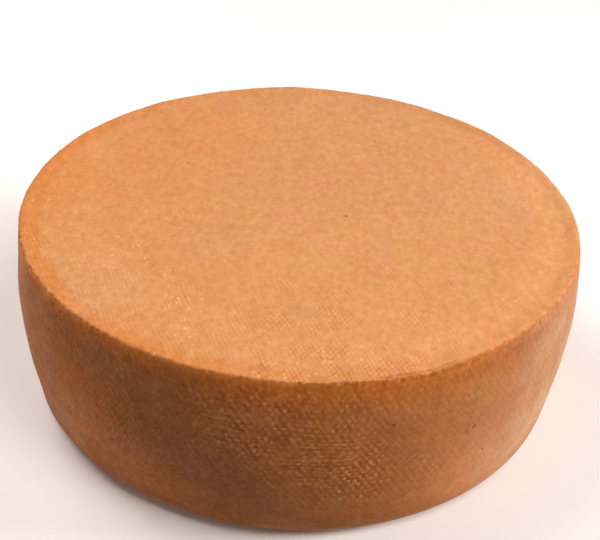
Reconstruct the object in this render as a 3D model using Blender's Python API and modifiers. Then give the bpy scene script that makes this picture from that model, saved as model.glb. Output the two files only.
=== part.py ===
"""Mountain cheese: one whole pressed wheel with its rind, as a single solid.

The wheel stands on its flat base with its axis on Z and the middle of the base at the
origin. A profile is turned round Z, and the uneven surface of the rind is then added to
the turned blank: a body that is not quite round, shallow hollows, a lip left by the
mould's lid, and an upper edge that has crumbled. Units are metres.
"""

import math

import bpy
from mathutils import Vector, noise

# Main sizes of the wheel
WHEEL_HEIGHT = 0.0940       # base to the flat of the top
EDGE_RADIUS = 0.1375        # radius at the sharp upper edge
BARREL_BULGE = 0.0046       # how far the side swells at mid height
FOOT_TAPER = 0.0054         # how much narrower the foot is than the upper edge
TOP_DISH = 0.0012           # the middle of the top lies this far below its margin

# Rounded foot, a quarter ellipse
FOOT_ROUND_HEIGHT = 0.0130
FOOT_ROUND_WIDTH = 0.0115

# Upper edge
LIP_WIDTH = 0.0070          # low swelling just inside the edge
LIP_HEIGHT = 0.0006
EDGE_ROUND = 0.0016         # radius of the edge itself
EDGE_BAND = 0.0060          # the crumbling reaches this far from the edge

# Unevenness of the body, as (waves round the wheel, depth, phase in degrees)
ROUNDNESS_WAVES = ((2, 0.00030, 20.0), (3, 0.00030, 140.0), (5, 0.00018, 65.0))
HOLLOW_SIZE = 0.042         # spacing of the shallow hollows
HOLLOW_DEPTH = 0.0009
DIMPLE_SIZE = 0.015
DIMPLE_DEPTH = 0.0003

# Crumbling of the upper edge
CRUMB_SIZE = 0.0075
CRUMB_DEPTH = 0.0009
# Stretches where the edge has broken back, as (start and end in degrees from +X, depth)
CHIPS = ((-74.0, -61.0, 0.0014), (-53.0, -45.0, 0.0012), (18.0, 25.0, 0.0010),
         (97.0, 109.0, 0.0013), (163.0, 170.0, 0.0010), (221.0, 226.0, 0.0009))

# Fineness of the mesh
TURN_STEPS = 160
TOP_RINGS = 9
SIDE_RINGS = 11
FOOT_RINGS = 5
BASE_RINGS = 2
EDGE_RINGS = 3
MERGE_DISTANCE = 0.00005

RIND_COLOUR = (0.56, 0.27, 0.10, 1.0)


def remove_scene_objects():
    for scene_object in list(bpy.data.objects):
        bpy.data.objects.remove(scene_object, do_unlink=True)


def side_radius(height):
    """Radius of the smooth side at a height above the base."""
    level = height / WHEEL_HEIGHT
    return EDGE_RADIUS + BARREL_BULGE * 4.0 * level * (1.0 - level) - FOOT_TAPER * (1.0 - level)


def top_height(radius):
    """Height of the smooth top at a distance from the axis: a dish with a lip round it."""
    dish = TOP_DISH * (1.0 - (radius / EDGE_RADIUS) ** 2)
    lip_place = (radius - (EDGE_RADIUS - LIP_WIDTH)) / LIP_WIDTH
    lip = LIP_HEIGHT * math.sin(math.pi * 0.5 * min(max(lip_place, 0.0), 1.0))
    return WHEEL_HEIGHT - dish + lip


def wheel_profile():
    """Half section of the wheel as (radius, height), from the middle of the top down."""
    points = []
    top_end = EDGE_RADIUS - LIP_WIDTH
    for ring in range(TOP_RINGS + 1):
        radius = top_end * ring / TOP_RINGS
        points.append((radius, top_height(radius)))
    points.append((EDGE_RADIUS - 0.5 * LIP_WIDTH, top_height(EDGE_RADIUS - 0.5 * LIP_WIDTH)))

    edge_top = top_height(EDGE_RADIUS)
    for ring in range(EDGE_RINGS + 1):
        turn = 0.5 * math.pi * ring / EDGE_RINGS
        points.append((EDGE_RADIUS - EDGE_ROUND * (1.0 - math.sin(turn)),
                       edge_top - EDGE_ROUND * (1.0 - math.cos(turn))))

    side_top = edge_top - EDGE_ROUND
    for ring in range(1, SIDE_RINGS + 1):
        share = ring / SIDE_RINGS
        height = side_top + (FOOT_ROUND_HEIGHT - side_top) * share ** 1.35
        points.append((side_radius(height), height))

    foot_radius = side_radius(FOOT_ROUND_HEIGHT)
    for ring in range(1, FOOT_RINGS + 1):
        turn = 0.5 * math.pi * ring / FOOT_RINGS
        points.append((foot_radius - FOOT_ROUND_WIDTH * (1.0 - math.cos(turn)),
                       FOOT_ROUND_HEIGHT * (1.0 - math.sin(turn))))

    base_radius = points[-1][0]
    for ring in range(1, BASE_RINGS + 1):
        points.append((base_radius * (1.0 - ring / BASE_RINGS), 0.0))
    return points


def turned_blank(name, profile):
    """Turn the profile round Z and return the result as an object with a plain mesh."""
    outline_mesh = bpy.data.meshes.new(name + "_profile")
    outline_mesh.from_pydata([(radius, 0.0, height) for radius, height in profile],
                             [(index, index + 1) for index in range(len(profile) - 1)], [])
    outline = bpy.data.objects.new(name + "_profile", outline_mesh)
    bpy.context.scene.collection.objects.link(outline)

    screw = outline.modifiers.new("Turn", "SCREW")
    screw.axis = "Z"
    screw.steps = TURN_STEPS
    screw.render_steps = TURN_STEPS
    screw.use_merge_vertices = True
    screw.merge_threshold = MERGE_DISTANCE

    evaluated = outline.evaluated_get(bpy.context.evaluated_depsgraph_get())
    blank_mesh = bpy.data.meshes.new_from_object(evaluated)
    blank_mesh.name = name
    bpy.data.objects.remove(outline, do_unlink=True)
    bpy.data.meshes.remove(outline_mesh)
    return bpy.data.objects.new(name, blank_mesh)


def smooth_rise(value, start, end):
    """0 below start, 1 above end, and a smooth slope between."""
    share = min(max((value - start) / (end - start), 0.0), 1.0)
    return share * share * (3.0 - 2.0 * share)


def roundness_error(angle):
    """How far the body stands out from a true circle, in a direction from the axis."""
    return sum(depth * math.cos(waves * angle + math.radians(phase))
               for waves, depth, phase in ROUNDNESS_WAVES)


def chip_depth(angle):
    """How far the upper edge has broken back, in a direction from the axis."""
    degrees = math.degrees(angle)
    deepest = 0.0
    for start, end, depth in CHIPS:
        middle = 0.5 * (start + end)
        offset = abs((degrees - middle + 180.0) % 360.0 - 180.0)
        half_length = 0.5 * (end - start)
        deepest = max(deepest, depth * (1.0 - smooth_rise(offset, 0.6 * half_length, 1.1 * half_length)))
    return deepest


def with_relief(point):
    """Move one point of the turned blank to its place on the uneven rind."""
    radius = math.hypot(point.x, point.y)
    if radius < MERGE_DISTANCE:
        return point.copy()
    angle = math.atan2(point.y, point.x)
    outward = Vector((point.x / radius, point.y / radius, 0.0))
    upward = Vector((0.0, 0.0, 1.0))

    # The base stays flat, and the middle of the top keeps its place on the axis.
    above_base = smooth_rise(point.z, 0.0, FOOT_ROUND_HEIGHT)
    on_top = smooth_rise(point.z, WHEEL_HEIGHT - 2.0 * TOP_DISH, WHEEL_HEIGHT - TOP_DISH)
    from_axis = smooth_rise(radius, 0.0, HOLLOW_SIZE)
    edge_distance = math.hypot(radius - EDGE_RADIUS, point.z - WHEEL_HEIGHT)
    at_edge = 1.0 - smooth_rise(edge_distance, 0.0, EDGE_BAND)

    hollow = HOLLOW_DEPTH * noise.noise(point / HOLLOW_SIZE)
    dimple = DIMPLE_DEPTH * noise.noise(point / DIMPLE_SIZE + Vector((7.0, 3.0, 5.0)))
    crumb_place = outward * (EDGE_RADIUS / CRUMB_SIZE)
    crumb = CRUMB_DEPTH * at_edge * noise.noise(crumb_place + Vector((0.0, 0.0, 11.0)))
    crumb_lift = 0.5 * CRUMB_DEPTH * at_edge * noise.noise(crumb_place + Vector((0.0, 0.0, 29.0)))
    chip = chip_depth(angle) * at_edge

    sideways = roundness_error(angle) * radius / EDGE_RADIUS
    sideways += (1.0 - on_top) * above_base * (hollow + dimple) + crumb - chip
    lift = on_top * from_axis * (hollow + dimple) + crumb_lift - 0.6 * chip
    return point + outward * sideways + upward * lift * above_base


def rind_material():
    material = bpy.data.materials.new("rind")
    material.use_nodes = True
    shader = material.node_tree.nodes["Principled BSDF"]
    shader.inputs["Base Color"].default_value = RIND_COLOUR
    shader.inputs["Roughness"].default_value = 0.55
    shader.inputs["Metallic"].default_value = 0.0
    return material


def cheese_wheel():
    wheel = turned_blank("cheese_wheel", wheel_profile())
    for vertex in wheel.data.vertices:
        vertex.co = with_relief(vertex.co)
    wheel.data.shade_smooth()
    wheel.data.materials.append(rind_material())
    return wheel


def main():
    remove_scene_objects()
    collection = bpy.data.collections.new("mountain_cheese")
    bpy.context.scene.collection.children.link(collection)
    collection.objects.link(cheese_wheel())


main()
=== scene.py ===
"""Looks of the mountain cheese: a whole wheel whose rind carries the print of a cloth.

The wheel is one closed mesh, laid out ring by ring on the sizes of the CAD solid that it
replaces. On its side the columns and rows of the mesh are the cloth itself: four steps
make one wave of the weave. Loose crumbs sit along the broken upper edge. Units are metres.
"""

import math
import random

import bmesh
import bpy
from mathutils import Matrix, Vector, noise


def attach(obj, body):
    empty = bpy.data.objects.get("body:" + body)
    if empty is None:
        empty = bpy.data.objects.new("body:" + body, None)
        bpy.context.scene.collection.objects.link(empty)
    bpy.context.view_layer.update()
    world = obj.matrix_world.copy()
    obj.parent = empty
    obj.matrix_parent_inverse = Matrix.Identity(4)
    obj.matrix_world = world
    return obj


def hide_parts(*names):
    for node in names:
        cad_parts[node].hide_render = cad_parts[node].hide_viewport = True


# Main sizes of the wheel, as in the solid's source
WHEEL_HEIGHT = 0.0940
EDGE_RADIUS = 0.1375
BARREL_BULGE = 0.0046
FOOT_TAPER = 0.0054
TOP_DISH = 0.0012
FOOT_ROUND_HEIGHT = 0.0130
FOOT_ROUND_WIDTH = 0.0115
LIP_WIDTH = 0.0070
LIP_HEIGHT = 0.0006

# Unevenness of the body, as in the solid's source
ROUNDNESS_WAVES = ((2, 0.00030, 20.0), (3, 0.00030, 140.0), (5, 0.00018, 65.0))
HOLLOW_SIZE = 0.042
HOLLOW_DEPTH = 0.0009
DIMPLE_SIZE = 0.015
DIMPLE_DEPTH = 0.0003
DIMPLE_SHIFT = Vector((7.0, 3.0, 5.0))

# Ledges, where the upper edge has cracked, as (start and end in degrees from +X, how deep)
LEDGES = ((-76.0, -58.0, 1.0), (-53.0, -45.0, 0.3))
LEDGE_WIDTH = 0.0018
LEDGE_DROP = 0.0009
LEDGE_STEP = 0.0005
CRACK_BEND = 0.0045         # the crack bends about once in this length
CRACK_WANDER = 0.0006
CRACK_SHADE_WIDTH = 0.00030        # how wide the crack shows dark

# Upper edge: the lid of the mould has left a thin lip, which hangs a little over the side.
# It is missing on some stretches, given as (middle and half length, in degrees from +X).
LIP_OVERHANG = 0.0001
LIP_DROP = 0.0006           # how far below the top the lip stands out most
LIP_THICKNESS = 0.0009
LIP_GAPS = ((-83.0, 11.0), (-30.0, 32.0), (22.0, 9.0), (75.0, 14.0), (128.0, 9.0), (196.0, 8.0))
SHARP_ROUND = 0.0010
SOFT_ROUND = 0.0013
EDGE_INNER = 0.0030         # the edge band starts this far inside the edge
EDGE_LOWER = 0.0036         # and ends this far below the flat of the top
EDGE_RINGS = 12

# Raggedness of the edge, as (size of the bites, their depth), and how far from the edge it goes
RAGGED_WAVES = ((0.0075, 0.0005), (0.0030, 0.0006), (0.0014, 0.0002))
RAGGED_BAND = 0.0024
BITE_LIMIT = 0.15           # the edge stands out by this share of a bite's depth at most
BITE_LIFT = 0.35            # up and down it is ragged by this share of what it is sideways

# The skin of the top ends ragged on the edge, as (size of the tears, their depth), and gives
# way to that of the side over a short length.
SKIN_TEARS = ((0.0024, 0.0011), (0.0011, 0.0006))
SKIN_FADE = 0.0014

# Cloth printed on the side: waves round the wheel, and the height of one wave
CLOTH_WAVES_ROUND = 256
CLOTH_WAVE_HEIGHT = 0.00488
CLOTH_RELIEF = 0.00024
CLOTH_DRIFT = 0.0016
CLOTH_DRIFT_SIZE = 0.030
CLOTH_ROWS = 47
STEPS_PER_WAVE = 4
COLUMNS = CLOTH_WAVES_ROUND * STEPS_PER_WAVE
BROAD_PRINT = (3.1, 38.0)   # noise in how clearly it shows: per radius round, per metre up
FINE_PRINT = (15.0, 150.0)
FAINT_PRINT = 0.24          # how clearly it shows where it has not been pressed in
PRESSED_PRINT = 0.82
UNEVEN_PRINT = 0.8          # how much the relief changes from thread to thread

# Rings of the mesh. Those of the top are given as (vertices round, first radius, last radius,
# spacing), those of the base as (vertices round, share of the radius of the base).
TOP_BANDS = ((16, 0.0025, 0.006, 0.0025), (32, 0.006, 0.013, 0.0035),
             (64, 0.013, 0.026, 0.0035), (128, 0.026, 0.052, 0.0035),
             (256, 0.052, 0.116, 0.0032), (512, 0.116, 0.131, 0.0021),
             (COLUMNS, 0.131, EDGE_RADIUS - EDGE_INNER, 0.0009))
LOWER_COLUMNS = COLUMNS // 2        # below the print of the cloth
LOWER_ROWS = 9
FOOT_STEPS = 8
BASE_BANDS = ((128, 0.72), (64, 0.4), (32, 0.2), (16, 0.08))

# Directions from the axis, in degrees from +X. The camera stands in front.
FRONT = -90.0
RIGHT = -15.0
BACK = 90.0
LEFT = 200.0
FRONT_LEFT = -135.0
NEAREST_EDGE = -95.0

# Cloth printed on the top: its two sets of lines, as waves per metre along X and Y
TOP_CLOTH_LINES = ((452.0, 191.0), (380.0, -264.0))
TOP_PRINTED = ((0.0, -0.112, 0.036, 0.16),)     # as the patches of the top below
SLACK_SIZE = 0.0050                             # spots where the cloth lay slack

# Patches of the side, as (degrees from +X, height, half length, half height, how much).
# Lighter and darker ones, partly the uneven colour of the rind and partly painted light and shade:
# painted bounce light low on the left, painted sheen on the far left and low on the right, painted
# light high in front and painted shade low in front:
SIDE_TONE_AND_LIGHT_PATCHES = ((-88.0, 0.086, 0.030, 0.014, 0.16), (-108.0, 0.088, 0.034, 0.008, -0.14),
                (-138.0, 0.028, 0.040, 0.018, 0.30),
                (-114.0, 0.056, 0.040, 0.036, -0.36), (-98.0, 0.028, 0.030, 0.022, -0.26),
                (-134.0, 0.080, 0.040, 0.016, -0.26), (-56.0, 0.022, 0.024, 0.018, 0.20),
                (-85.0, 0.050, 0.022, 0.026, 0.20), (-44.0, 0.088, 0.040, 0.006, -0.22),
                (-172.0, 0.062, 0.030, 0.036, 0.22), (40.0, 0.060, 0.040, 0.020, -0.14),
                (110.0, 0.034, 0.050, 0.018, 0.20), (170.0, 0.070, 0.040, 0.016, -0.12),
                (-100.0, 0.048, 0.034, 0.032, -0.09), (-24.0, 0.066, 0.032, 0.034, -0.14),
                (-57.0, 0.052, 0.026, 0.044, 0.08), (-114.0, 0.024, 0.036, 0.012, 0.10))
# A pale bloom that has dried, and painted sheen low on the right and on the far left:
BLOOM_AND_SHEEN_PATCHES = ((-34.0, 0.028, 0.038, 0.028, 0.9), (-9.0, 0.050, 0.034, 0.036, 0.85),
                 (-32.0, 0.078, 0.030, 0.018, 0.45),
                 (-170.0, 0.040, 0.026, 0.036, 0.5), (60.0, 0.040, 0.040, 0.020, 0.6),
                 (150.0, 0.030, 0.040, 0.016, 0.6))
# Where the cloth has pressed in deepest:
PRESSED_PATCHES = ((-100.0, 0.069, 0.020, 0.013, 0.68), (-88.0, 0.060, 0.024, 0.020, 0.78),
                   (-79.0, 0.042, 0.018, 0.016, 0.62), (-88.0, 0.084, 0.034, 0.008, 0.32),
                   (-62.0, 0.052, 0.022, 0.024, 0.06), (-122.0, 0.056, 0.030, 0.030, 0.30),
                   (-22.0, 0.060, 0.030, 0.020, 0.10), (48.0, 0.060, 0.050, 0.024, 0.65),
                   (132.0, 0.056, 0.060, 0.026, 0.75), (196.0, 0.060, 0.030, 0.020, 0.40))
# Where only its level threads show:
LEVEL_PATCHES = ((-84.0, 0.056, 0.020, 0.014, 1.0), (-102.0, 0.068, 0.014, 0.008, 0.7),
                 (60.0, 0.050, 0.030, 0.014, 0.8), (150.0, 0.060, 0.030, 0.014, 0.8))
# A fuller, more orange brown, mostly close under the upper edge:
WARM_PATCHES = ((-140.0, 0.070, 0.050, 0.026, 0.70), (-110.0, 0.052, 0.030, 0.028, 0.35),
                (-45.0, 0.090, 0.042, 0.006, 0.60), (30.0, 0.084, 0.060, 0.010, 0.50),
                (120.0, 0.072, 0.070, 0.020, 0.50))

# Patches of the top, as (x, y, radius, how much): redder and fuller, paler and greyer, and darker
RUST_PATCHES = ((-0.125, 0.010, 0.045, 0.90), (-0.070, 0.080, 0.045, 0.50),
                (-0.052, -0.052, 0.030, 0.60),
                (-0.070, 0.032, 0.022, 0.35), (-0.074, -0.108, 0.016, 0.60))
PALE_PATCHES = ((0.112, 0.020, 0.045, 0.85), (0.060, 0.112, 0.035, 0.50),
                (0.005, 0.118, 0.030, 0.35),
                (-0.082, -0.078, 0.020, 0.80), (-0.044, -0.040, 0.018, 0.70),
                (0.010, 0.015, 0.055, 0.25))
TOP_TONES = ((-0.010, 0.025, 0.080, -0.065), (0.020, 0.060, 0.025, -0.025))

# Small open pits: on the top as (x, y, radius), on the side as (degrees from +X, height, radius)
TOP_PITS = ((0.0225, -0.0037, 0.00070), (-0.0610, 0.0420, 0.00060))
SIDE_PITS = ((-55.0, 0.0562, 0.00110), (-51.0, 0.0370, 0.00070), (-72.0, 0.0705, 0.00085),
             (133.0, 0.0480, 0.00100), (28.0, 0.0610, 0.00090))

# Camera, from the outline of the wheel in the photograph
CAMERA_ELEVATION = math.radians(34.07)
CAMERA_ROLL = math.radians(2.84)
CAMERA_DISTANCE = 0.6202
CAMERA_TARGET = Vector((0.0011, 0.0, 0.0566))
CAMERA_LENS = 72.0
SENSOR_WIDTH = 36.0

# The seed of noise_vector, which is otherwise taken from the clock
NOISE_SEED = 11

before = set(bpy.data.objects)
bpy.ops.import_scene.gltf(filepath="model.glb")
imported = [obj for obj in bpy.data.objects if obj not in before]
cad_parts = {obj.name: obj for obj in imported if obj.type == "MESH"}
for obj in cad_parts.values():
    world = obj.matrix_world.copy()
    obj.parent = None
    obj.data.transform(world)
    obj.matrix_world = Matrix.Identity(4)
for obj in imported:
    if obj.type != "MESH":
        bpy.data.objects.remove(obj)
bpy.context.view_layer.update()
noise.seed_set(NOISE_SEED)


# ---------------- form of the wheel

def smooth_rise(value, start, end):
    """0 before start, 1 past end, and a smooth slope between."""
    share = min(max((value - start) / (end - start), 0.0), 1.0)
    return share * share * (3.0 - 2.0 * share)


def side_radius(height):
    level = height / WHEEL_HEIGHT
    return EDGE_RADIUS + BARREL_BULGE * 4.0 * level * (1.0 - level) - FOOT_TAPER * (1.0 - level)


def top_height(radius):
    dish = TOP_DISH * (1.0 - (radius / EDGE_RADIUS) ** 2)
    lip_place = (radius - (EDGE_RADIUS - LIP_WIDTH)) / LIP_WIDTH
    lip = LIP_HEIGHT * math.sin(math.pi * 0.5 * min(max(lip_place, 0.0), 1.0))
    return WHEEL_HEIGHT - dish + lip


class Ring:
    """One ring of vertices: its circle, how many it has, and where it lies on the wheel."""

    def __init__(self, zone, count, radius, height, row=0.0, share=0.0):
        self.zone = zone            # top, edge, side or base
        self.count = count
        self.radius = radius
        self.height = height
        self.row = row              # row of the cloth, in steps, on the side
        self.share = share          # share of the way over the edge, in the edge band


def wheel_rings():
    """Rings from just beside the middle of the top, over the edge, down to the base."""
    rings = []
    for count, start, end, spacing in TOP_BANDS:
        steps = round((end - start) / spacing)
        for step in range(steps):
            radius = start + (end - start) * step / steps
            rings.append(Ring("top", count, radius, top_height(radius)))

    for step in range(EDGE_RINGS + 1):
        rings.append(Ring("edge", 2 * COLUMNS, EDGE_RADIUS, WHEEL_HEIGHT, share=step / EDGE_RINGS))

    # The side, row by row of the cloth, and coarser where the print has worn away.
    cloth_step = CLOTH_WAVE_HEIGHT / STEPS_PER_WAVE
    side_top = WHEEL_HEIGHT - EDGE_LOWER
    for row in range(1, CLOTH_ROWS + 1):
        height = side_top - row * cloth_step
        rings.append(Ring("side", COLUMNS, side_radius(height), height, row))
    cloth_foot = side_top - CLOTH_ROWS * cloth_step
    for row in range(1, LOWER_ROWS + 1):
        height = cloth_foot + (FOOT_ROUND_HEIGHT - cloth_foot) * row / LOWER_ROWS
        rings.append(Ring("side", LOWER_COLUMNS, side_radius(height), height,
                          (side_top - height) / cloth_step))

    # The rounded foot and the base.
    foot_radius = side_radius(FOOT_ROUND_HEIGHT)
    for step in range(1, FOOT_STEPS + 1):
        turn = 0.5 * math.pi * step / FOOT_STEPS
        height = FOOT_ROUND_HEIGHT * (1.0 - math.sin(turn))
        rings.append(Ring("side", LOWER_COLUMNS if step < FOOT_STEPS else LOWER_COLUMNS // 2,
                          foot_radius - FOOT_ROUND_WIDTH * (1.0 - math.cos(turn)), height,
                          (side_top - height) / cloth_step))
    base_radius = rings[-1].radius
    for count, share in BASE_BANDS:
        rings.append(Ring("base", count, base_radius * share, 0.0))
    return rings


def degrees_between(angle, degrees):
    """Smallest distance between an angle in radians and one in degrees, in degrees."""
    return abs((math.degrees(angle) - degrees + 180.0) % 360.0 - 180.0)


def facing(angle, degrees, reach, full):
    """1 within full degrees of a direction, 0 beyond reach degrees, smooth between."""
    return smooth_rise(degrees_between(angle, degrees), reach, full)


def direction(angle, height=0.0):
    return Vector((math.cos(angle), math.sin(angle), height))


def roundness_error(angle):
    return sum(depth * math.cos(waves * angle + math.radians(phase))
               for waves, depth, phase in ROUNDNESS_WAVES)


def crack_radius(angle):
    """Where the crack runs that parts a ledge from the rest of the rim."""
    wander = noise.noise(direction(angle) * (EDGE_RADIUS / CRACK_BEND))
    return EDGE_RADIUS - LEDGE_WIDTH + CRACK_WANDER * wander


def ledge_share(angle):
    """1 where the rim has cracked into a ledge, 0 elsewhere."""
    deepest = 0.0
    for start, end, depth in LEDGES:
        half_length = 0.5 * (end - start)
        offset = degrees_between(angle, 0.5 * (start + end))
        past_end = smooth_rise(offset, 0.6 * half_length, 1.15 * half_length)
        deepest = max(deepest, depth * (1.0 - past_end))
    return deepest


def lip_share(angle):
    """How fully the lip is there, from 0 to 1."""
    full = 0.75 + 0.6 * noise.noise(direction(angle, 0.3) * 6.0)
    for middle, half_length in LIP_GAPS:
        full *= smooth_rise(degrees_between(angle, middle), 0.6 * half_length, 1.3 * half_length)
    return min(max(full, 0.0), 1.0) * (1.0 - ledge_share(angle))


def ragged_share(angle):
    """How far the edge is ragged: the back of the wheel has kept a smoother one."""
    return 1.0 - 0.75 * smooth_rise(degrees_between(angle, FRONT), 45.0, 95.0)


def edge_curve(share, lip):
    """Section of the edge as (radius, height): the rim of the top, a round, then down the side."""
    round_size = SHARP_ROUND + (SOFT_ROUND - SHARP_ROUND) * lip
    crest = top_height(EDGE_RADIUS)
    flat = EDGE_INNER - round_size
    bend = 0.5 * math.pi * round_size
    drop = crest - (WHEEL_HEIGHT - EDGE_LOWER) - round_size
    travelled = share * (flat + bend + drop)
    if travelled < flat:
        radius = EDGE_RADIUS - EDGE_INNER + travelled
        height = top_height(radius)
    elif travelled < flat + bend:
        turn = (travelled - flat) / round_size
        radius = EDGE_RADIUS - round_size * (1.0 - math.sin(turn))
        height = crest - round_size * (1.0 - math.cos(turn))
    else:
        height = crest - round_size - (travelled - flat - bend)
        radius = EDGE_RADIUS + (side_radius(height) - EDGE_RADIUS) * share ** 8
    below = crest - height
    radius += lip * LIP_OVERHANG * math.exp(-((below - LIP_DROP) / LIP_THICKNESS) ** 2)
    return radius, height


def side_noise(angle, height, round_waves, upward_waves):
    """Smooth noise on the side, by waves per radius round the wheel and per metre up."""
    return noise.noise(Vector((math.cos(angle) * round_waves, math.sin(angle) * round_waves,
                               height * upward_waves)))


def top_noise(x, y, size, layer):
    """Smooth noise on the top, with spots of about this size. Each layer is noise of its own."""
    return noise.noise(Vector((x / size, y / size, layer)))


def cloth_strength(angle, height):
    """How clearly the cloth has printed on the side, from 0 to 1."""
    broad = side_noise(angle, height, *BROAD_PRINT)
    fine = side_noise(angle, height, *FINE_PRINT)
    pressed = PRESSED_PRINT * patch_sum(PRESSED_PATCHES, angle, height) * (1.0 + 0.5 * fine)
    strength = min(max(FAINT_PRINT + 0.14 * broad + 0.12 * fine + pressed, 0.05), 1.1)
    strength *= 1.0 - 0.45 * facing(angle, RIGHT, 60.0, 30.0)
    return strength * smooth_rise(height, 0.006, 0.030)


def top_cloth_strength(x, y):
    """How clearly the cloth has printed on the top, from 0 to 1: most in front, near the rim."""
    patch = top_noise(x, y, 0.022, 4.0) + 0.5 * top_noise(x, y, 0.009, 9.0)
    radius = math.hypot(x, y)
    front = smooth_rise(radius, 0.050, 0.100) * smooth_rise(-y, -0.020, 0.060)
    front *= 1.0 - 0.7 * smooth_rise(x, 0.030, 0.080)
    rim = smooth_rise(radius, 0.112, 0.130)
    strength = 0.10 + 0.5 * patch + 0.48 * front + top_sum(TOP_PRINTED, x, y) + 0.1 * rim
    return min(max(strength, 0.0), 1.4)


def top_sum(patches, x, y):
    """Sum of round patches of the top that fade outward."""
    return sum(amount * math.exp(-((x - middle_x) ** 2 + (y - middle_y) ** 2) / size ** 2)
               for middle_x, middle_y, size, amount in patches)


def clouded(patches, x, y):
    """Sum of patches of the top, broken up unevenly, from 0 to 1."""
    return min(top_sum(patches, x, y) * (0.9 + 0.6 * top_noise(x, y, 0.016, 2.0)), 1.0)


def patch_sum(patches, angle, height):
    """Sum of patches of the side that fade outward."""
    total = 0.0
    for middle, level, half_length, half_height, change in patches:
        along = math.radians(degrees_between(angle, middle)) * EDGE_RADIUS / half_length
        total += change * math.exp(-along ** 2 - ((height - level) / half_height) ** 2)
    return total


def surface_point(angle, radius, height, cloth_height=0.0):
    """Place of a vertex on the uneven rind."""
    outward = direction(angle)
    point = outward * radius + Vector((0.0, 0.0, height))

    above_base = smooth_rise(height, 0.0, FOOT_ROUND_HEIGHT)
    on_top = smooth_rise(height, WHEEL_HEIGHT - 2.0 * TOP_DISH, WHEEL_HEIGHT - TOP_DISH)
    from_axis = smooth_rise(radius, 0.0, HOLLOW_SIZE)

    hollow = HOLLOW_DEPTH * noise.noise(point / HOLLOW_SIZE)
    dimple = DIMPLE_DEPTH * noise.noise(point / DIMPLE_SIZE + DIMPLE_SHIFT)
    sideways = roundness_error(angle) * radius / EDGE_RADIUS
    sideways += (1.0 - on_top) * above_base * (hollow + dimple) + cloth_height
    lift = on_top * from_axis * (hollow + dimple)

    edge_distance = math.hypot(radius - EDGE_RADIUS, height - WHEEL_HEIGHT)
    if edge_distance < 2.0 * RAGGED_BAND:
        close = 1.0 - smooth_rise(edge_distance, 0.3 * RAGGED_BAND, 1.6 * RAGGED_BAND)
        close *= ragged_share(angle)
        for size, depth in RAGGED_WAVES:
            grain = noise.noise_vector(point / size)
            bite = min(grain.x, BITE_LIMIT)
            sideways += depth * close * bite
            lift += BITE_LIFT * depth * close * grain.z
        ledge = ledge_share(angle)
        if ledge > 0.0:
            crack = crack_radius(angle)
            sunk = smooth_rise(radius, crack, crack + LEDGE_STEP)
            sunk *= 1.0 - smooth_rise(WHEEL_HEIGHT - height, 0.0014, 0.0032)
            lift -= LEDGE_DROP * ledge * sunk
    return point + outward * sideways + Vector((0.0, 0.0, lift * above_base))


def ring_vertices(ring):
    """Vertices of one ring. On the side they drift along the surface as the cloth did."""
    vertices = []
    for index in range(ring.count):
        column = index * COLUMNS / ring.count
        angle = 2.0 * math.pi * column / COLUMNS
        radius, height, cloth_height = ring.radius, ring.height, 0.0
        if ring.zone == "edge":
            radius, height = edge_curve(ring.share, lip_share(angle))
        elif ring.zone == "side" and height > FOOT_ROUND_HEIGHT:
            drift_place = direction(angle) * (radius / CLOTH_DRIFT_SIZE)
            drift = noise.noise_vector(drift_place + Vector((0.0, 0.0, height / CLOTH_DRIFT_SIZE)))
            room = smooth_rise(WHEEL_HEIGHT - EDGE_LOWER - height, 0.0, 0.012)
            room *= smooth_rise(height, FOOT_ROUND_HEIGHT, FOOT_ROUND_HEIGHT + 0.010)
            angle += CLOTH_DRIFT * drift.x * room / radius
            height += CLOTH_DRIFT * drift.z * room
            radius = side_radius(height)
            if ring.count == COLUMNS:
                wave = math.cos(0.5 * math.pi * column) * math.cos(0.5 * math.pi * ring.row)
                thread = Vector((column * 0.37, ring.row * 0.37, 2.0))
                uneven = 1.0 + UNEVEN_PRINT * noise.noise(thread)
                cloth_height = CLOTH_RELIEF * wave * uneven * cloth_strength(angle, height)
        vertices.append(surface_point(angle, radius, height, cloth_height))
    return vertices


def band_faces(outer, outer_first, inner, inner_first):
    """Faces between two rings that follow each other, where one may have twice the vertices."""
    faces = []
    if outer.count == inner.count:
        for index in range(outer.count):
            after = (index + 1) % outer.count
            faces.append((outer_first + index, inner_first + index,
                          inner_first + after, outer_first + after))
        return faces
    upper_is_fine = outer.count > inner.count
    fine, fine_first = (outer, outer_first) if upper_is_fine else (inner, inner_first)
    coarse, coarse_first = (inner, inner_first) if upper_is_fine else (outer, outer_first)
    for index in range(coarse.count):
        left = coarse_first + index
        right = coarse_first + (index + 1) % coarse.count
        a = fine_first + 2 * index
        b = a + 1
        c = fine_first + (2 * index + 2) % fine.count
        for face in ((left, b, a), (left, right, b), (right, c, b)):
            faces.append(face if upper_is_fine else face[::-1])
    return faces


def wheel_mesh():
    rings = wheel_rings()
    vertices = [Vector((0.0, 0.0, top_height(0.0)))]
    firsts = []
    for ring in rings:
        firsts.append(len(vertices))
        vertices.extend(ring_vertices(ring))
    bottom = len(vertices)
    vertices.append(Vector((0.0, 0.0, 0.0)))

    faces = []
    face_rings = []                 # for each face, the ring it starts from
    top_ring, base_ring = rings[0], rings[-1]
    for index in range(top_ring.count):
        faces.append((0, firsts[0] + index, firsts[0] + (index + 1) % top_ring.count))
    face_rings += [0] * len(faces)
    for place in range(len(rings) - 1):
        band = band_faces(rings[place], firsts[place], rings[place + 1], firsts[place + 1])
        faces.extend(band)
        face_rings += [place] * len(band)
    for index in range(base_ring.count):
        faces.append((bottom, firsts[-1] + (index + 1) % base_ring.count, firsts[-1] + index))
    face_rings += [len(rings) - 1] * base_ring.count

    mesh = bpy.data.meshes.new("rind_wheel")
    mesh.from_pydata([tuple(vertex) for vertex in vertices], [], faces)
    mesh.update()
    return mesh, rings, firsts, vertices, face_rings


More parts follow.
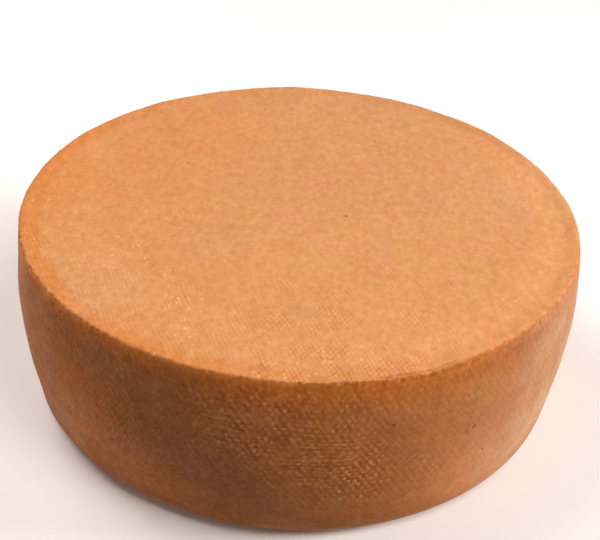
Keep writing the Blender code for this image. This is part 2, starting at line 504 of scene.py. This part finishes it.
def edge_finish(ring, turn, vertex):
    """Where the skin of the top ends on the upper edge, and the painted shade along the crack of a
    ledge.
    """
    lip = lip_share(turn)
    radius, height = edge_curve(ring.share, lip)
    ledge, crack = ledge_share(turn), crack_radius(turn)
    past_round = radius - EDGE_RADIUS + SHARP_ROUND + top_height(EDGE_RADIUS) - height
    past_crack = ledge * smooth_rise(radius, crack, crack + LEDGE_STEP)
    # A thin dark line along the crack: painted shade.
    parted = ledge * math.exp(-((radius - crack - 0.5 * LEDGE_STEP) / CRACK_SHADE_WIDTH) ** 2)

    tear = sum(depth * noise.noise(vertex / size) for size, depth in SKIN_TEARS)
    soft = facing(turn, RIGHT, 70.0, 30.0)
    reach = -0.0004 + 0.0004 * lip + 0.0007 * facing(turn, NEAREST_EDGE, 45.0, 20.0)
    torn = past_round + tear * (1.0 - 0.5 * soft)
    skin = 1.0 - smooth_rise(torn, reach, reach + SKIN_FADE + 0.0006 * soft)
    if past_round <= -0.8 * SHARP_ROUND:
        skin = 1.0
    return {"on_top": skin * (1.0 - 0.30 * past_crack), "crack_shade": 0.55 * parted}


def top_finish(angle, x, y):
    """What the material needs to know of a place on the top."""
    from_axis = math.hypot(x, y)
    pale_rim = smooth_rise(from_axis, 0.105, 0.128) * facing(angle, RIGHT, 75.0, 30.0)
    dim_rim = smooth_rise(from_axis, 0.090, 0.120) * facing(angle, BACK, 75.0, 40.0)
    # Lighter near the right rim and darker near the back rim, as light falls there: painted light
    # and shade.
    return {"tone_and_painted_light": 1.0 + 0.09 * pale_rim - 0.05 * dim_rim + top_sum(TOP_TONES, x, y),
            "patch": clouded(RUST_PATCHES, x, y),
            "pale": clouded(PALE_PATCHES, x, y),
            "warm": (facing(angle, LEFT, 85.0, 45.0) - 0.6 * facing(angle, RIGHT, 70.0, 35.0)
                     - 0.5 * facing(angle, BACK, 70.0, 35.0))}


def side_finish(angle, height):
    """What the material needs to know of a place on the side."""
    return {"tone_and_painted_light": 1.0 + patch_sum(SIDE_TONE_AND_LIGHT_PATCHES, angle, height),
            "patch": patch_sum(BLOOM_AND_SHEEN_PATCHES, angle, height),
            "warm": min(patch_sum(WARM_PATCHES, angle, height), 1.0),
            "crust": 0.03 + 0.97 * facing(angle, FRONT_LEFT, 80.0, 25.0),
            "level": patch_sum(LEVEL_PATCHES, angle, height)}


# What the material needs to know of each vertex: how far it has the skin of the top, how clearly
# the cloth has printed, lighter or darker, partly in its own colour and partly as painted light
# and shade, rust of the top or bloom and painted sheen of the side, paler, fuller, orange crust
# under the edge, only level threads, and the painted shade in the crack of a ledge.
ATTRIBUTES = ("on_top", "print", "tone_and_painted_light", "patch", "pale", "warm", "crust", "level", "crack_shade")


def write_attributes(mesh, rings, firsts, vertices):
    values = {name: [0.0] * len(mesh.vertices) for name in ATTRIBUTES}
    for ring, first in zip(rings, firsts):
        upper = ring.zone == "top" or ring.zone == "edge" and ring.share < 0.5
        for index in range(first, first + ring.count):
            x, y, z = vertices[index]
            angle = math.atan2(y, x)
            finish = top_finish(angle, x, y) if upper else side_finish(angle, z)
            if upper:
                finish["print"] = top_cloth_strength(x, y)
            else:
                finish["print"] = 0.25 if ring.zone == "edge" else cloth_strength(angle, z)
            if ring.zone == "top":
                finish["on_top"] = 1.0
            elif ring.zone == "edge":
                turn = 2.0 * math.pi * ((index - first) / ring.count)
                finish.update(edge_finish(ring, turn, vertices[index]))
            for name, number in finish.items():
                values[name][index] = number
    middle = top_finish(0.0, 0.0, 0.0)
    values["on_top"][0] = 1.0
    values["print"][0] = top_cloth_strength(0.0, 0.0)
    values["tone_and_painted_light"][0] = middle["tone_and_painted_light"]
    values["pale"][0] = middle["pale"]
    for name, numbers in values.items():
        layer = mesh.attributes.new(name, "FLOAT", "POINT")
        layer.data.foreach_set("value", numbers)


# Layout of the surface for baking, in metres on a square sheet: the top as a disc, the side
# as two strips below it, and the base, smaller, beside it.
SHEET_SIZE = 0.490
TOP_ON_SHEET = (0.144, 0.346)
BASE_ON_SHEET = (0.390, 0.346)
BASE_SCALE = 0.70
STRIP_STARTS = (0.104, 0.004)
STRIP_HEIGHT = 0.098
SHEET_MARGIN = 0.006


def write_layouts(mesh, rings, firsts, face_rings):
    """Place each face on the cloth, for the material, and on the sheet, for baking."""
    count = len(mesh.vertices)
    column, row, along = [0.0] * count, [0.0] * count, [0.0] * count
    walked = 0.0
    last = None
    for ring, first in zip(rings, firsts):
        if ring.zone == "edge":
            radius, height = edge_curve(ring.share, 0.5)
        else:
            radius, height = ring.radius, ring.height
        on_side = ring.zone == "side" or (ring.zone == "edge" and ring.share >= 0.5)
        if on_side and last is not None:
            walked += math.hypot(radius - last[0], height - last[1])
        last = (radius, height) if on_side or ring.zone == "edge" else None
        for index in range(ring.count):
            column[first + index] = index * CLOTH_WAVES_ROUND / ring.count
            row[first + index] = ring.row / STEPS_PER_WAVE
            along[first + index] = walked

    cloth = mesh.uv_layers.new(name="cloth")
    sheet = mesh.uv_layers.new(name="OFBake")
    cloth_uv = [0.0] * (2 * len(mesh.loops))
    sheet_uv = [0.0] * (2 * len(mesh.loops))
    half = 0.5 * CLOTH_WAVES_ROUND
    strip_width = math.pi * EDGE_RADIUS
    base_start = len(rings) - len(BASE_BANDS) - 1
    for face in mesh.polygons:
        ring = rings[face_rings[face.index]]
        corners = [(corner, mesh.loops[corner].vertex_index) for corner in face.loop_indices]
        columns = [column[vertex] for corner, vertex in corners]
        wraps = max(columns) - min(columns) > half
        columns = [place + CLOTH_WAVES_ROUND if wraps and place < half else place
                   for place in columns]
        strip = 0 if sum(columns) / len(columns) < half else 1
        upper = ring.zone == "edge" and ring.share < 0.5 - 0.5 / EDGE_RINGS
        for (corner, vertex), place in zip(corners, columns):
            cloth_uv[2 * corner] = place
            cloth_uv[2 * corner + 1] = row[vertex]
            x, y, z = mesh.vertices[vertex].co
            if upper or ring.zone == "top":
                u, v = TOP_ON_SHEET[0] + x, TOP_ON_SHEET[1] + y
            elif face_rings[face.index] >= base_start:
                u, v = BASE_ON_SHEET[0] - BASE_SCALE * x, BASE_ON_SHEET[1] + BASE_SCALE * y
            else:
                u = SHEET_MARGIN + (place - half * strip) / half * strip_width
                v = STRIP_STARTS[strip] + STRIP_HEIGHT - along[vertex]
            sheet_uv[2 * corner] = u / SHEET_SIZE
            sheet_uv[2 * corner + 1] = v / SHEET_SIZE
    cloth.uv.foreach_set("vector", cloth_uv)
    sheet.uv.foreach_set("vector", sheet_uv)


# ---------------- material

class Wire:
    """What comes out of a node. Each call, sum or product adds a node that works on it."""

    def __init__(self, graph, socket):
        self.graph = graph
        self.socket = socket

    def __add__(self, other):
        return self.graph.math("ADD", self, other)

    def __sub__(self, other):
        return self.graph.math("SUBTRACT", self, other)

    def __rsub__(self, other):
        return self.graph.math("SUBTRACT", other, self)

    def __mul__(self, other):
        return self.graph.math("MULTIPLY", self, other)

    def __rmul__(self, other):
        return self.graph.math("MULTIPLY", other, self)

    def wave(self):
        return self.graph.math("COSINE", self * (2.0 * math.pi))

    def blend(self, first, second):
        """Number between first, where this is 0, and second, where it is 1."""
        return first * (1.0 - self) + second * self

    def rise(self, start, end, low=0.0, high=1.0):
        """low below start, high above end, smooth between."""
        return self.graph.wire("MapRange", {"Value": self, "From Min": start, "From Max": end,
                                            "To Min": low, "To Max": high},
                               interpolation_type="SMOOTHSTEP")

    def split(self):
        return self.graph.wires("SeparateXYZ", {0: self}, (0, 1, 2))

    def shade(self, factor):
        """The colour made lighter or darker by a factor, or a place with its sizes changed."""
        return self.graph.wire("VectorMath", {0: self, "Scale": factor}, operation="SCALE")

    def dust(self, change, shares):
        """The colour made paler and greyer where change is above 0, deeper and fuller below 0.

        The shares say how far the change reaches red, green and blue.
        """
        factors = self.graph.join(*[change * share + 1.0 for share in shares])
        return self.graph.wire("VectorMath", {0: self, 1: factors}, operation="MULTIPLY")

    def noise(self, size, detail=2.0, roughness=0.5, output="Fac"):
        """Smooth noise from 0 to 1 at a place, with spots of about this size."""
        return self.graph.wire("TexNoise", {"Vector": self, "Scale": 0.5 / size,
                                            "Detail": detail, "Roughness": roughness}, output)

    def clouds(self, size, start, end, low=0.0, high=1.0, detail=2.0):
        """Noise with spots of about this size, brought to low below start and high above end."""
        return self.noise(size, detail).rise(start, end, low, high)

    def wander(self, size, reach, detail=2.0, roughness=0.6):
        """A number, up to about reach / 4 either way, that wanders over the surface."""
        return (self.noise(size, detail, roughness) - 0.5) * reach

    def pull(self, size, reach):
        """Two such numbers."""
        first, second, third = self.noise(size, 1.0, output="Color").split()
        return (first - 0.5) * reach, (second - 0.5) * reach

    def cells(self, size, scatter=1.0, dimensions="3D"):
        """Distance from the nearest of scattered points, and a random number for each point."""
        values = {"Vector": self, "Scale": 1.0 / size, "Randomness": scatter}
        distance, colour = self.graph.wires("TexVoronoi", values, ("Distance", "Color"),
                                            voronoi_dimensions=dimensions)
        return distance, colour.split()[0]


class Graph:
    """A material and a short way to write its nodes."""

    def __init__(self, name):
        self.material = bpy.data.materials.new(name)
        self.material.use_nodes = True
        self.tree = self.material.node_tree

    def plug(self, node, values):
        """Join wires to the sockets of a node, and set its other sockets to numbers."""
        for name, value in values.items():
            if isinstance(value, Wire):
                self.tree.links.new(value.socket, node.inputs[name])
            else:
                node.inputs[name].default_value = value

    def finish(self, values):
        self.plug(self.tree.nodes["Principled BSDF"], values)
        return self.material

    def wires(self, kind, values, outputs, **settings):
        node = self.tree.nodes.new("ShaderNode" + kind)
        for name, value in settings.items():
            setattr(node, name, value)
        self.plug(node, values)
        return [Wire(self, node.outputs[output]) for output in outputs]

    def wire(self, kind, values, output=0, **settings):
        return self.wires(kind, values, (output,), **settings)[0]

    def math(self, operation, first, second=0.0):
        return self.wire("Math", {0: first, 1: second}, operation=operation)

    def mix(self, share, first, second):
        return self.wire("Mix", {"Factor": share, "A": first, "B": second}, "Result",
                         data_type="RGBA")

    def attribute(self, name):
        return self.wire("Attribute", {}, "Fac", attribute_name=name)

    def place(self):
        return self.wire("TexCoord", {}, "Object")

    def join(self, x, y, z):
        return self.wire("CombineXYZ", {0: x, 1: y, 2: z})

    def bump(self, height, depth):
        """Bump from a height in units of depth."""
        return self.wire("Bump", {"Strength": 1.0, "Distance": depth, "Height": height})


TOP_TAN = (0.662, 0.294, 0.113, 1.0)
TOP_YELLOW = (0.657, 0.301, 0.109, 1.0)
TOP_PINK = (0.677, 0.290, 0.120, 1.0)
TOP_RUST = (0.648, 0.246, 0.074, 1.0)
TOP_RIM_ORANGE = (0.612, 0.205, 0.054, 1.0)
TOP_PALE = (0.650, 0.306, 0.139, 1.0)
TOP_SPECK = (0.790, 0.420, 0.205, 1.0)
TOP_SPOT = (0.605, 0.225, 0.066, 1.0)
SIDE_BROWN = (0.274, 0.093, 0.0235, 1.0)
SIDE_PINK = (0.290, 0.095, 0.030, 1.0)
SIDE_OLIVE = (0.266, 0.094, 0.021, 1.0)
SIDE_UNDER_EDGE = (0.345, 0.098, 0.0115, 1.0)
SIDE_CRUST = (0.540, 0.163, 0.026, 1.0)
SIDE_BLOOM_AND_SHEEN = (0.410, 0.222, 0.118, 1.0)
CRUMB_ORANGE = (0.520, 0.190, 0.055, 1.0)
CRUMB_BROWN = (0.440, 0.145, 0.034, 1.0)
SIDE_FOOT_PAINTED_BOUNCE = (0.420, 0.190, 0.110, 1.0)
PIT_PAINTED_SHADE = (0.130, 0.038, 0.010, 1.0)
CRACK_SHADE_BROWN = (0.190, 0.050, 0.007, 1.0)

# How far a change of the fine grain reaches red, green and blue
TOP_DUST = (0.70, 1.25, 1.90)
SIDE_DUST = (0.62, 1.30, 2.20)

# Fine grain of the colour, as (size of its spots, how far it goes either way), and how much of
# the noise it takes up
TOP_GRAINS = ((0.0014, 0.08), (0.0023, 0.04))
SIDE_GRAINS = ((0.0012, 0.12), (0.0021, 0.08))
TOP_GRAIN_SPREAD = 0.30
SIDE_GRAIN_SPREAD = 0.25

BETWEEN_KNOTS = -0.6        # how deep the cloth is sunk between its knots, which reach up to 1
OLD_RING_RADIUS = 0.088     # faint darker ring on the top
SPECK_SPACING = 0.0026      # pale dots of the top
SPOT_SIZE = 0.0015          # darker spots of the top
PRICK_SPACING = 0.011       # small pits, of which one in four is there
PRICK_SHARE = 0.25
RIND_GLOSS = 0.12
RELIEF_UNIT = 0.0001        # relief in the material is in tenths of a millimetre
TOP_RELIEF = 0.34
SIDE_RELIEF = 1.45
PIT_RELIEF = -2.5


def knots(first, second, scatter, lowest, highest):
    """Knots where two sets of lines cross, each of its own height, and sunk between them."""
    distance, chance = first.graph.join(first, second, 0.0).cells(1.0, scatter, "2D")
    height = chance.rise(0.1, 1.0, lowest, highest)
    return distance.rise(0.10, 0.52, 1.0, 0.0) * height + BETWEEN_KNOTS


def toward_edge(radius, far, near, low=0.0, high=1.0):
    """On the top: low up to far from the upper edge, high from near to it on."""
    return radius.rise(EDGE_RADIUS - far, EDGE_RADIUS - near, low, high)


def toward_top(height, far, near, low=0.0, high=1.0):
    """On the side: low up to far below the top, high from near to it on."""
    return height.rise(WHEEL_HEIGHT - far, WHEEL_HEIGHT - near, low, high)


def axis_distance(x, y):
    return x.graph.math("SQRT", x * x + y * y)


def drawn_back(place):
    """The place as it is for spots that are longer from front to back."""
    x, y, z = place.split()
    return place.graph.join(x, y * 0.65, z)


def drawn_level(place, times):
    """The place as it is for spots that are so many times longer than high."""
    x, y, z = place.split()
    return place.graph.join(x, y, z * times)


def grains(place, sizes, spread):
    first, second = [place.clouds(size, 0.5 - spread, 0.5 + spread, -reach, reach)
                     for size, reach in sizes]
    return first + second


def top_cloth(place):
    """The cloth on the top: raised where it is 1, sunk where it is -0.6."""
    x, y, z = place.split()
    for size, reach in ((0.0070, 0.0030), (0.0026, 0.0011)):
        pull_x, pull_y = place.pull(size, reach)
        x, y = x + pull_x, y + pull_y
    lines = [x * along_x + y * along_y for along_x, along_y in TOP_CLOTH_LINES]
    crossings = knots(*lines, 0.25, 0.5, 1.5) + lines[1].wave() * 0.35
    both = x.rise(-0.060, 0.030, 0.2, 0.9) * x.rise(0.050, 0.090, 1.0, 0.5)
    woven = lines[0].wave() * 0.45 + crossings * both
    slack = place.clouds(SLACK_SIZE, 0.38, 0.62, 0.10, 1.2)
    crumbly = toward_edge(axis_distance(x, y), 0.006, 0.001, 3.0, 6.0)
    return woven * slack + place.wander(0.0018, crumbly)


def side_cloth(graph, place, height):
    """The cloth on the side, slack in places, and crumbly close under the upper edge."""
    column, row, unused = graph.wire("UVMap", {}, uv_map="cloth").split()
    pull_column, pull_row = place.pull(0.0046, 0.55)
    column, row = column + pull_column, row + pull_row
    falling = column - row
    level = graph.attribute("level")
    crossings = knots(column + row, falling, 0.45, 0.4, 1.8) + falling.wave() * 0.50
    crossings *= level.rise(0.0, 1.0, 1.05, 0.60)

    dashes = drawn_level(place, 1.6).clouds(0.0040, 0.38, 0.64, 0.1, 1.1, 1.0)
    threads = (row * 2.0).wave() * (dashes * level.rise(0.0, 1.0, 0.3, 1.0))
    frayed = drawn_level(place, 3.2).wander(0.0015, 6.0)
    threads += frayed * level.rise(0.0, 1.0, 0.5, 1.1)

    slack = place.clouds(SLACK_SIZE, 0.36, 0.62, 0.55, 1.25)
    woven = (crossings + threads) * slack + place.wander(0.0013, 3.2)
    crumbly = woven * 0.9 + place.wander(0.0012, 4.0)
    relief = toward_top(height, 0.026, 0.008).blend(woven, crumbly)
    return relief.rise(-1.6, 2.3, -0.85, 1.35)


def top_colours(graph, place, radius, woven):
    flat = drawn_back(place)
    colour = graph.mix(place.clouds(0.0095, 0.36, 0.64, detail=3.0), TOP_YELLOW, TOP_PINK)
    colour = graph.mix(place.clouds(0.030, 0.3, 0.7, 0.0, 0.8, 1.0), colour, TOP_TAN)
    colour = graph.mix(graph.attribute("patch"), colour, TOP_RUST)

    # The rim, more orange on the left than on the right.
    warm = graph.attribute("warm")
    uneven = radius + place.wander(0.004, 0.006, 3.0, 0.5)
    near_rim = toward_edge(uneven, 0.0125, 0.0055) * (warm * 0.43 + 0.42)
    blotched = place.clouds(0.007, 0.36, 0.58) * toward_edge(radius, 0.013, 0.005)
    at_edge = toward_edge(radius, 0.0016, 0.0, 0.0, 0.8) * warm.rise(-0.6, 0.0, 0.4, 1.0)
    near_rim = graph.math("MAXIMUM", near_rim, blotched * (warm * 0.7))
    near_rim = graph.math("MAXIMUM", near_rim, at_edge)
    colour = graph.mix(near_rim, colour, TOP_RIM_ORANGE)
    colour = graph.mix(graph.attribute("pale") * 0.8, colour, TOP_PALE)

    # Pale dots where the cloth has printed, and small darker spots.
    distance, chance = flat.cells(SPECK_SPACING)
    specks = distance.rise(0.12, 0.36, 1.0, 0.0) * chance.rise(0.30, 0.95)
    specks *= place.clouds(0.020, 0.35, 0.65, 0.45, 1.0)
    specks *= graph.attribute("print").rise(0.0, 1.0, 0.2, 1.0)
    colour = graph.mix(specks, colour, TOP_SPECK)
    spots = flat.shade(1.37).clouds(SPOT_SIZE, 0.54, 0.74, 0.0, 0.45)
    colour = graph.mix(spots, colour, TOP_SPOT)

    # The relief of the cloth goes into the colour too, paler on its knots and darker between them:
    # partly its print and partly painted light and shade.
    fine = grains(flat, TOP_GRAINS, TOP_GRAIN_SPREAD) + woven * 0.12
    colour = colour.dust(fine, TOP_DUST)
    off_ring = graph.math("ABSOLUTE", radius - OLD_RING_RADIUS)
    ring_break = place.clouds(0.030, 0.45, 0.65, detail=1.0)
    old_ring = off_ring.rise(0.0, 0.006, 0.035, 0.0) * (ring_break * -1.0) + 1.0
    return colour.shade(old_ring).shade(graph.attribute("tone_and_painted_light"))


def side_colours(graph, place, height, woven):
    colour = graph.mix(place.clouds(0.009, 0.35, 0.65, detail=3.0), SIDE_PINK, SIDE_OLIVE)
    colour = graph.mix(place.clouds(0.026, 0.3, 0.7, 0.0, 0.8), colour, SIDE_BROWN)

    # Fuller close under the upper edge, with a crust along the edge itself.
    uneven = height + place.noise(0.012) * 0.012
    under_edge = graph.math("MAXIMUM", toward_top(uneven, 0.014, -0.004),
                            graph.attribute("warm"))
    colour = graph.mix(under_edge, colour, SIDE_UNDER_EDGE)
    ragged = height + place.wander(0.0016, 0.003)
    crusted = (toward_top(ragged, 0.0065, 0.0028, 0.0, 0.14)
               + toward_top(ragged, 0.0032, 0.0006, 0.0, 0.50))
    colour = graph.mix(crusted * graph.attribute("crust"), colour, SIDE_CRUST)

    # A bloom that has dried, with painted sheen, the foot, paler with painted light from the
    # floor, and the knots of the cloth, with painted highlights.
    # Pale bloom in places, and painted sheen low on the right and on the far left.
    bloom_and_sheen = graph.attribute("patch") * place.clouds(0.008, 0.25, 0.6, 0.5, 1.0, 3.0)
    colour = graph.mix(bloom_and_sheen, colour, SIDE_BLOOM_AND_SHEEN)
    # Paler and pinker toward the foot: painted light bounced up from the floor.
    low = height + place.wander(0.006, 0.006, roughness=0.5)
    colour = graph.mix(low.rise(0.0015, 0.0085, 0.75, 0.0), colour, SIDE_FOOT_PAINTED_BOUNCE)
    # Paler on the raised knots of the cloth: painted highlights.
    colour = graph.mix(woven.rise(0.1, 1.4, 0.0, 0.16), colour, SIDE_BLOOM_AND_SHEEN)

    # The grain, calmer to the right, and level and hanging streaks. The relief of the cloth goes
    # into the colour too, paler on its raised threads and darker in its sunk ones: partly its
    # print and partly painted light and shade.
    x, y, z = place.split()
    grain = grains(place, SIDE_GRAINS, SIDE_GRAIN_SPREAD)
    fine = grain * x.rise(-0.06, 0.10, 1.15, 0.60) + woven * 0.40
    colour = colour.dust(fine, SIDE_DUST)
    streaks = drawn_level(place, 3.0).clouds(0.010, 0.3, 0.7, 0.95, 1.06)
    washed = drawn_level(place, 0.16).clouds(0.0022, 0.25, 0.75, 0.955, 1.045)
    # The last factor is partly the uneven colour of the side and partly painted light and shade.
    for factor in (streaks, washed, graph.attribute("tone_and_painted_light")):
        colour = colour.shade(factor)
    return colour


def pit_depth(graph, place):
    """1 inside the open pits, 0 elsewhere."""
    pits = []
    for x, y, radius in TOP_PITS:
        from_axis = math.hypot(x, y)
        middle = surface_point(math.atan2(y, x), from_axis, top_height(from_axis))
        pits.append((middle, radius))
    for degrees, height, radius in SIDE_PITS:
        middle = surface_point(math.radians(degrees), side_radius(height), height)
        pits.append((middle, radius))
    depth = None
    for middle, radius in pits:
        gap = graph.wire("VectorMath", {0: place, 1: middle}, "Value", operation="DISTANCE")
        pit = gap.rise(0.6 * radius, 1.3 * radius, 1.0, 0.0)
        depth = pit if depth is None else graph.math("MAXIMUM", depth, pit)
    distance, chance = place.cells(PRICK_SPACING)
    rare = graph.math("LESS_THAN", chance, PRICK_SHARE)
    return graph.math("MAXIMUM", depth, distance.rise(0.025, 0.055, 0.6, 0.0) * rare)


def rind_material():
    graph = Graph("rind")
    place = graph.place()
    x, y, z = place.split()
    on_top = graph.attribute("on_top")
    printed = graph.attribute("print")
    pits = pit_depth(graph, place)

    top_woven = top_cloth(place) * printed
    side_woven = side_cloth(graph, place, z) * printed
    colour = graph.mix(on_top, side_colours(graph, place, z, side_woven),
                       top_colours(graph, place, axis_distance(x, y), top_woven))
    # A thin dark line along the crack of a ledge: painted shade.
    colour = graph.mix(graph.attribute("crack_shade") * 0.85, colour, CRACK_SHADE_BROWN)
    # Dark brown inside the pits: painted shade.
    colour = graph.mix(pits * 0.7, colour, PIT_PAINTED_SHADE)

    finely = on_top.blend(1.2, printed.rise(0.0, 1.0, 0.4, 1.0))
    grain = place.noise(0.0012, 3.0, 0.65) * finely
    pimples = drawn_back(place).noise(0.0030) * on_top.blend(0.6, 1.3)
    height = top_woven * on_top * TOP_RELIEF + (grain + pimples)
    height += (1.0 - on_top) * (side_woven * SIDE_RELIEF)
    height += pits * PIT_RELIEF
    waxy = place.clouds(0.012, 0.3, 0.7, 0.50, 0.66, 3.0)
    return graph.finish({"Base Color": colour, "Roughness": waxy + on_top * 0.26,
                         "Specular IOR Level": RIND_GLOSS,
                         "Normal": graph.bump(height, RELIEF_UNIT)})


def crumb_material():
    graph = Graph("crumbs")
    place = graph.place()
    colour = graph.mix(place.clouds(0.003, 0.3, 0.7), CRUMB_BROWN, CRUMB_ORANGE)
    return graph.finish({"Base Color": colour, "Roughness": 0.6, "Specular IOR Level": 0.2,
                         "Normal": graph.bump(place.noise(0.0004), RELIEF_UNIT)})


# ---------------- pieces

def add_to_scene(thing):
    bpy.context.scene.collection.objects.link(thing)


def declare(piece):
    """Add a piece of the wheel to the scene and tell the frame that it rides on the root."""
    add_to_scene(piece)
    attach(piece, "root")


def add_wheel():
    mesh, rings, firsts, vertices, face_rings = wheel_mesh()
    write_attributes(mesh, rings, firsts, vertices)
    write_layouts(mesh, rings, firsts, face_rings)
    mesh.shade_smooth()
    mesh.materials.append(rind_material())
    wheel = bpy.data.objects.new("rind_wheel", mesh)
    declare(wheel)
    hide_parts("cheese_wheel")
    return rings, firsts, vertices


CRUMB_COUNT = 70
CRUMB_SEED = 7
CRUMB_SIZES = (0.00025, 0.00060)
CRUMB_SINK = 0.35               # share of its size that a crumb is pressed in
CRUMB_BAND = (0.30, 0.62)       # where they lie, as shares of the way over the edge
CRUMB_WIDTHS = (0.7, 1.5)
CRUMB_HEIGHTS = (0.5, 0.9)


def crumb_shape():
    """Corners and faces of a small round solid, which each crumb then distorts."""
    shape = bmesh.new()
    bmesh.ops.create_icosphere(shape, subdivisions=2, radius=1.0)
    corners = [vertex.co.copy() for vertex in shape.verts]
    faces = [[vertex.index for vertex in face.verts] for face in shape.faces]
    shape.free()
    return corners, faces


def add_crumbs(rings, firsts, vertices):
    """Loose crumbs, pressed into the upper edge all the way round."""
    draw = random.Random(CRUMB_SEED)
    corners, crumb_faces = crumb_shape()
    edge_rings = [place for place, ring in enumerate(rings)
                  if ring.zone == "edge" and CRUMB_BAND[0] < ring.share < CRUMB_BAND[1]]
    points, faces = [], []
    for crumb in range(CRUMB_COUNT):
        ring_place = draw.choice(edge_rings)
        middle = vertices[firsts[ring_place] + draw.randrange(rings[ring_place].count)]
        size = draw.uniform(*CRUMB_SIZES)
        inward = Vector((-middle.x, -middle.y, 0.0)).normalized() + Vector((0.0, 0.0, -0.7))
        middle = middle + inward * (CRUMB_SINK * size)
        stretch = Vector((draw.uniform(*CRUMB_WIDTHS), draw.uniform(*CRUMB_WIDTHS),
                          draw.uniform(*CRUMB_HEIGHTS)))
        turn = Matrix.Rotation(draw.uniform(0.0, 2.0 * math.pi), 3, "Z")
        if middle.x > 0.4 * EDGE_RADIUS:
            continue                # the edge on this side has crumbled less
        first = len(points)
        for corner in corners:
            lump = 1.0 + 0.6 * noise.noise(corner * 1.9 + Vector((crumb * 3.1, 0.0, 0.0)))
            local = Vector([a * b for a, b in zip(corner, stretch)]) * (size * lump)
            points.append(middle + turn @ local)
        faces.extend([first + index for index in face] for face in crumb_faces)
    mesh = bpy.data.meshes.new("rim_crumbs")
    mesh.from_pydata([tuple(point) for point in points], [], faces)
    mesh.shade_smooth()
    mesh.materials.append(crumb_material())
    declare(bpy.data.objects.new("rim_crumbs", mesh))


# ---------------- studio

FLOOR_RADIUS = 12.0
FLOOR_PALE = (0.93, 0.915, 0.91, 1.0)
FLOOR_WARM_PAINTED_SHADE = (0.92, 0.855, 0.82, 1.0)
FLOOR_GLOW = (0.85, 1.5)        # how far from the wheel the floor starts to glow, and glows fully

# Lamps, as (name, place, size, power, colour)
LAMP_AIM = Vector((0.0, 0.0, 0.05))
PALE_LIGHT = (1.0, 0.985, 0.96)
LAMPS = (("right", (1.47, 0.00, 0.36), 0.45, 32.0, PALE_LIGHT),
         ("front_high", (0.55, -0.55, 1.35), 0.70, 8.4, PALE_LIGHT),
         ("left_high", (-0.72, 0.15, 1.35), 0.80, 7.0, PALE_LIGHT),
         ("back", (-0.85, 0.85, 0.90), 0.90, 10.5, PALE_LIGHT),
         ("left_low", (-0.95, -0.80, 0.50), 0.90, 2.8, (1.0, 0.82, 0.70)))
BACKDROP_COLOUR = (1.0, 0.98, 0.96, 1.0)
BACKDROP_STRENGTH = 0.08


def add_floor():
    mesh = bpy.data.meshes.new("floor")
    shape = bmesh.new()
    bmesh.ops.create_circle(shape, cap_ends=True, segments=96, radius=FLOOR_RADIUS)
    shape.to_mesh(mesh)
    shape.free()
    graph = Graph("floor")
    x, y, z = graph.place().split()
    # Pinker toward the left, in patches: painted warm shade.
    patches = graph.place().clouds(0.25, 0.3, 0.7) * x.rise(-0.25, 0.25, 1.0, 0.0)
    # The floor far off glows, because the lamps near the wheel do not reach it.
    mesh.materials.append(graph.finish({
        "Base Color": graph.mix(patches, FLOOR_PALE, FLOOR_WARM_PAINTED_SHADE), "Roughness": 0.9,
        "Specular IOR Level": 0.1, "Emission Color": FLOOR_PALE,
        "Emission Strength": axis_distance(x, y).rise(*FLOOR_GLOW)}))
    floor = bpy.data.objects.new("floor", mesh)
    add_to_scene(floor)


def add_light(name, place, size, power, colour):
    light = bpy.data.lights.new(name, "AREA")
    light.shape = "DISK"
    light.size = size
    light.energy = power
    light.color = colour
    lamp = bpy.data.objects.new(name, light)
    lamp.location = place
    lamp.rotation_mode = "QUATERNION"
    lamp.rotation_quaternion = (LAMP_AIM - Vector(place)).to_track_quat("-Z", "Y")
    add_to_scene(lamp)


def add_studio():
    for lamp in LAMPS:
        add_light(*lamp)
    world = bpy.data.worlds.new("studio")
    world.use_nodes = True
    backdrop = world.node_tree.nodes["Background"]
    backdrop.inputs["Color"].default_value = BACKDROP_COLOUR
    backdrop.inputs["Strength"].default_value = BACKDROP_STRENGTH
    bpy.context.scene.world = world
    bpy.context.scene.view_settings.view_transform = "Standard"


def add_camera():
    back = Vector((0.0, -math.cos(CAMERA_ELEVATION), math.sin(CAMERA_ELEVATION)))
    level_right = Vector((1.0, 0.0, 0.0))
    level_up = back.cross(level_right)
    right = math.cos(CAMERA_ROLL) * level_right + math.sin(CAMERA_ROLL) * level_up
    up = math.cos(CAMERA_ROLL) * level_up - math.sin(CAMERA_ROLL) * level_right
    camera = bpy.data.objects.new("camera", bpy.data.cameras.new("camera"))
    camera.data.lens = CAMERA_LENS
    camera.data.sensor_width = SENSOR_WIDTH
    turned = Matrix((right, up, back)).transposed().to_4x4()
    camera.matrix_world = Matrix.Translation(CAMERA_TARGET + back * CAMERA_DISTANCE) @ turned
    add_to_scene(camera)
    bpy.context.scene.camera = camera


add_camera()
add_crumbs(*add_wheel())
add_floor()
add_studio()

bpy.context.view_layer.update()
